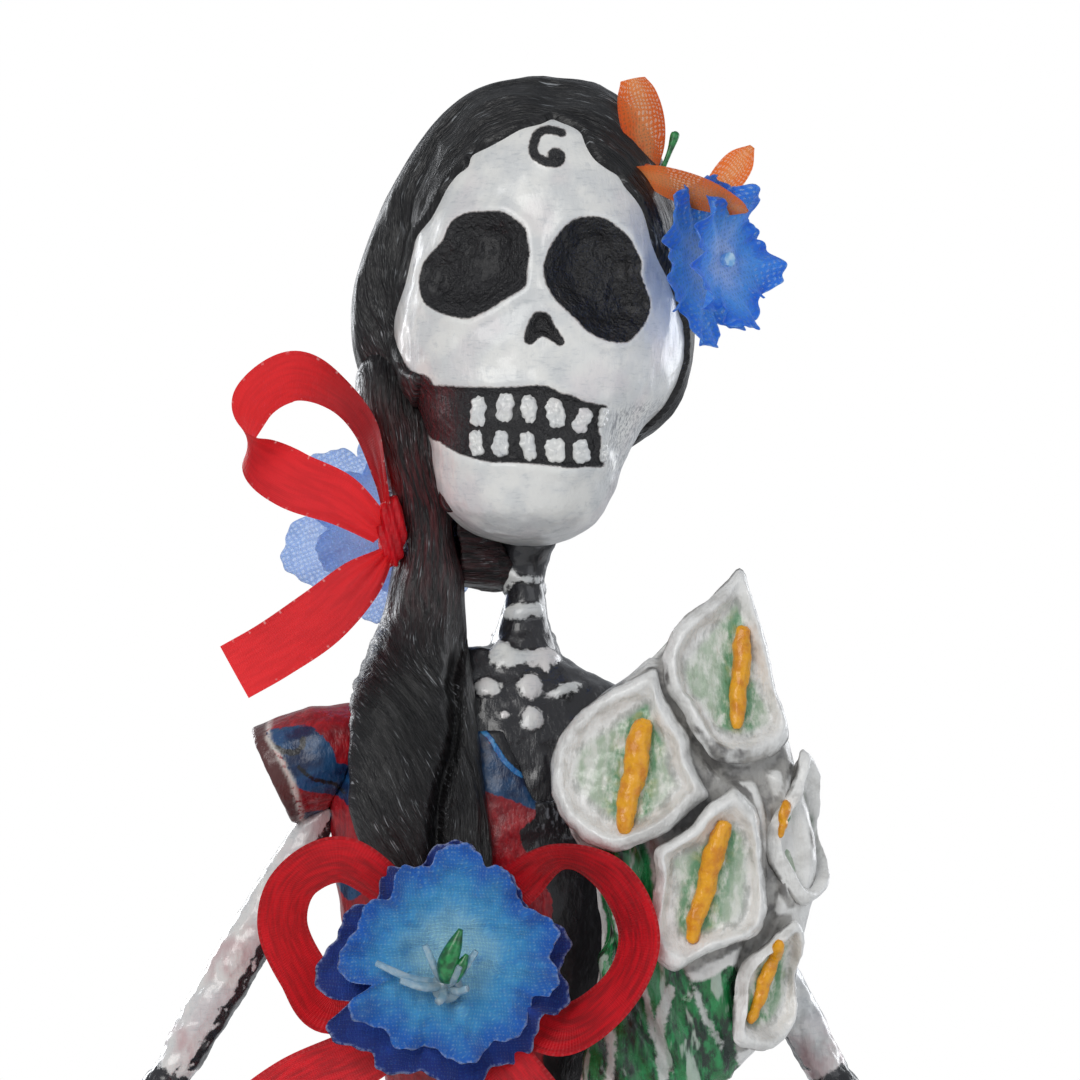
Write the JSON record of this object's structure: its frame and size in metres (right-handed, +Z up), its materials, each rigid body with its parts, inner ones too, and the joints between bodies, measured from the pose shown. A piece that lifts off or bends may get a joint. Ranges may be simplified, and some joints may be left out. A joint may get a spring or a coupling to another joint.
{
  "type": "papier-mache skeleton lady figure",
  "caption": "Painted papier-mache skeleton lady with a side ponytail, red satin ribbons, blue cloth flowers and an armful of white calla lilies.",
  "frame": {"origin": "centre of the base's underside, on the surface that the figure stands on", "axes": "+Z up, the figure faces -Y, +X towards her left hand and the lilies"},
  "size_m": [0.184, 0.184, 0.5015],
  "materials": {
    "card": "black paint on card, matte",
    "wood": "plain sanded dowel",
    "skirt_paper": "painted and varnished papier-mache",
    "sash_paper": "painted and varnished papier-mache",
    "black_paper": "black acrylic under gloss varnish",
    "blouse_paper": "red and blue acrylic under gloss varnish",
    "bone_paper": "white acrylic under gloss varnish",
    "hair_paper": "combed black paste under gloss varnish",
    "lily_paper": "white and green acrylic under gloss varnish",
    "spadix_paper": "yellow ochre acrylic under gloss varnish",
    "wire": "plain drawn wire",
    "satin": "single-face satin ribbon",
    "blue_cloth": "stiffened plain-weave cloth",
    "dark_blue_cloth": "stiffened plain-weave cloth",
    "orange_cloth": "stiffened plain-weave cloth",
    "green_plastic": "moulded stem",
    "stamen_plastic": "clear moulded stamens"
  },
  "bodies": {
    "root": {"base_board": "card", "support_dowel": "wood", "skirt_shell": "skirt_paper", "skirt_flounce": "skirt_paper", "waist_sash": "sash_paper", "torso": "black_paper", "blouse_body": "blouse_paper", "sleeve_right": "blouse_paper", "sleeve_left": "blouse_paper", "neck": "black_paper", "spine_wire": "wire", "skull": "bone_paper", "hair_cap": "hair_paper", "hair_tail": "hair_paper", "hair_roll": "hair_paper", "hair_lock_outer": "hair_paper", "hair_lock_inner": "hair_paper", "upper_arm_right": "bone_paper", "upper_arm_left": "bone_paper", "elbow_right": "black_paper", "elbow_left": "black_paper", "forearm_right": "bone_paper", "forearm_left": "bone_paper", "hand_right": "bone_paper", "hand_left": "bone_paper", "bouquet_core": "lily_paper", "nape_flower_outer": "blue_cloth", "nape_flower_inner": "dark_blue_cloth", "nape_flower_pin": "green_plastic", "hair_ribbon_knot": "satin", "hair_ribbon_loop": "satin", "hair_ribbon_tail": "satin", "bow_knot": "satin", "bow_loop_right": "satin", "bow_loop_left": "satin", "bow_tail_right": "satin", "bow_tail_left": "satin", "chest_flower_outer": "dark_blue_cloth", "chest_flower_inner": "blue_cloth", "chest_flower_stamens": "stamen_plastic", "chest_flower_leaf": "green_plastic", "hair_flower_outer": "dark_blue_cloth", "hair_flower_inner": "blue_cloth", "hair_flower_stem": "green_plastic", "orange_flower_heart": "orange_cloth", "orange_petal_top": "orange_cloth", "orange_petal_side": "orange_cloth", "orange_petal_far": "orange_cloth", "orange_flower_stamen": "green_plastic", "calla_spathe_1": "lily_paper", "calla_spadix_1": "spadix_paper", "calla_spathe_2": "lily_paper", "calla_spadix_2": "spadix_paper", "calla_spathe_3": "lily_paper", "calla_spadix_3": "spadix_paper", "calla_spathe_4": "lily_paper", "calla_spadix_4": "spadix_paper", "calla_spathe_5": "lily_paper", "calla_spadix_5": "spadix_paper"}
  },
  "joints": []
}
